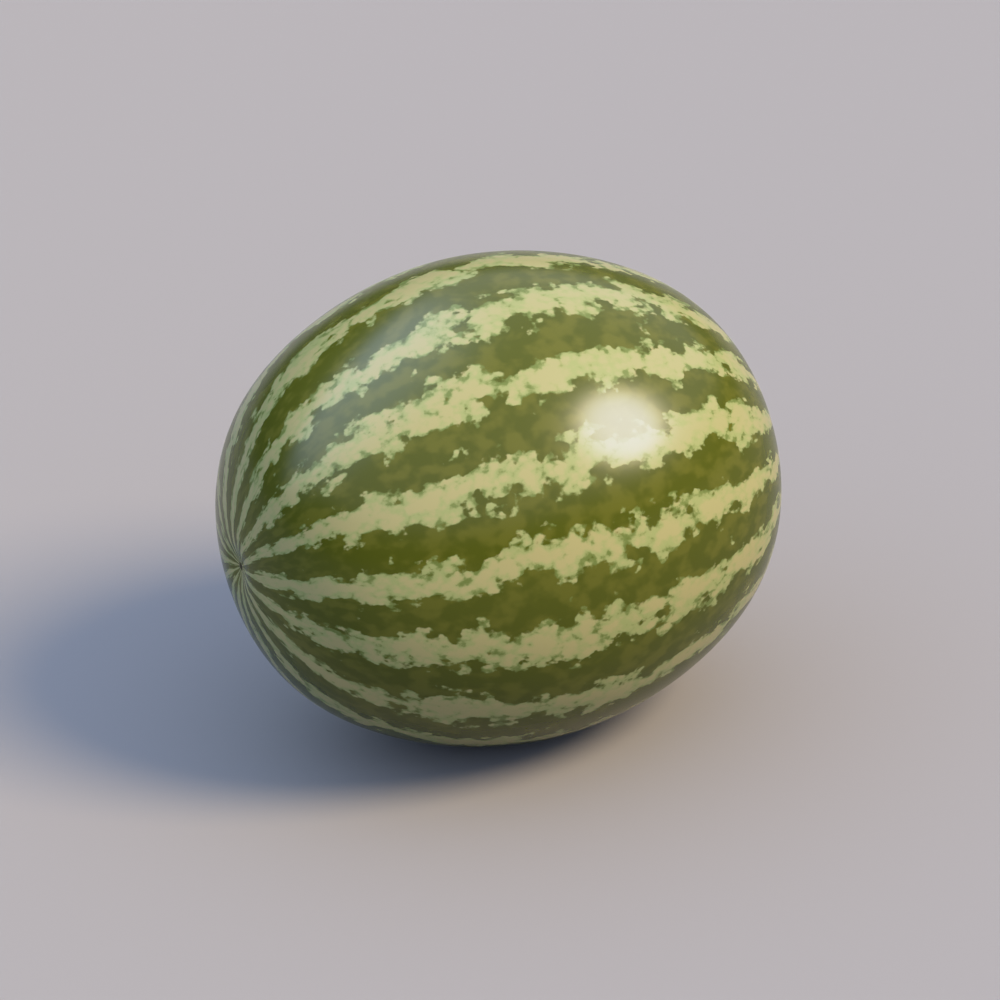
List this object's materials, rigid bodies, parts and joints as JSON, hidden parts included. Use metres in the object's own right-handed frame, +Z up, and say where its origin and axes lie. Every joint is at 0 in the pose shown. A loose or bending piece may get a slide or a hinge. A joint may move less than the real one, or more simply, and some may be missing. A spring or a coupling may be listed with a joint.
{
  "type": "watermelon",
  "caption": "Whole round-oval striped watermelon lying on its side, with a dimple at each end and a short dry stalk stub at one.",
  "frame": {"origin": "middle of the bottom of the bounding box, on the flat spot that the fruit rests on", "axes": "+X along the fruit's own axis towards the stem end with its dry stub, -X towards the blossom end, +Z up from the surface it rests on"},
  "size_m": [0.2816, 0.24, 0.2392],
  "materials": {
    "rind": "waxy dark green rind with ragged pale yellow-green stripes from end to end"
  },
  "bodies": {
    "root": {"watermelon": "rind"}
  },
  "joints": []
}
